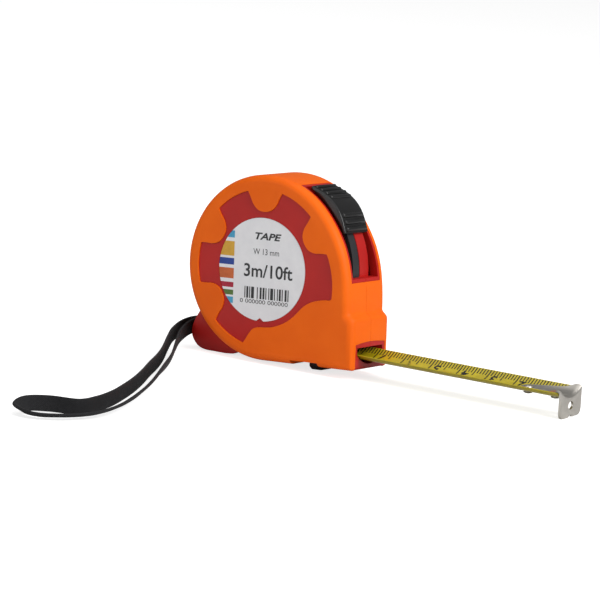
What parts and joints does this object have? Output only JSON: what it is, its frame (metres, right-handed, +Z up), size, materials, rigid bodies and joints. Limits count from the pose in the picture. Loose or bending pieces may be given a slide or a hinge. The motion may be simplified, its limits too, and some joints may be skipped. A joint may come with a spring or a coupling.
{
  "type": "tape measure",
  "caption": "Pocket tape measure in a round two-colour case with a lock slider, a drawn-out cupped steel tape with an end hook, a brake button and a wrist strap.",
  "frame": {"origin": "bottom centre of the part's box without its wrist strap, on the surface it rests on", "axes": "+X along the drawn-out tape towards its hook, +Y across the case, +Z up"},
  "size_m": [0.1388, 0.1563, 0.0586],
  "materials": {
    "red_abs": "satin",
    "orange_tpe": "matte",
    "label_film": "satin",
    "steel": "satin",
    "spring_steel": "satin",
    "tape_enamel": "gloss",
    "black_abs": "satin",
    "grey_abs": "satin",
    "webbing": "matte"
  },
  "bodies": {
    "root": {"left_shell": "red_abs", "right_shell": "red_abs", "left_overmould": "orange_tpe", "right_overmould": "orange_tpe", "left_label": "label_film", "right_label": "label_film", "front_screw": "steel", "top_screw": "steel", "rear_screw": "steel", "centre_screw": "steel", "spring_arbor": "steel", "power_spring": "spring_steel", "tape_lead": "tape_enamel", "strap_bar": "steel", "tape_blade": "tape_enamel", "wrist_strap": "webbing"},
    "reel": {"reel_drum": "black_abs", "reel_cover": "black_abs", "tape_coil": "tape_enamel"},
    "lock": {"lock_slider": "black_abs", "lock_tongue": "grey_abs"},
    "button": {"brake_button": "black_abs"},
    "tape": {"front_rivet": "steel", "rear_rivet": "steel"},
    "hook": {"end_hook": "steel"}
  },
  "joints": [
    {"name": "tape_slide", "type": "slide", "parent": "root", "child": "tape", "axis": [1, 0, 0], "range_m": [-0.068, 0], "deforming": ["tape_blade"]},
    {"name": "hook_play", "type": "slide", "parent": "tape", "child": "hook", "axis": [1, 0, 0], "range_m": [0, 0.0006]},
    {"name": "reel_turn", "type": "hinge", "parent": "root", "child": "reel", "pos_m": [-0.03873, 0, 0.02986], "axis": [0, 1, 0], "range_deg": [0, 215]},
    {"name": "lock_turn", "type": "hinge", "parent": "root", "child": "lock", "pos_m": [-0.03873, 0, 0.02986], "axis": [0, 1, 0], "range_deg": [0, 24]},
    {"name": "brake_press", "type": "slide", "parent": "root", "child": "button", "axis": [-0.061, 0, 0.9981], "range_m": [0, 0.001], "stiffness_N_per_m": 1200, "springref_m": -0.0004}
  ],
  "couplings": [
    {"joint": "reel_turn", "follows": "tape_slide", "rad_per_m": -54.35}
  ]
}
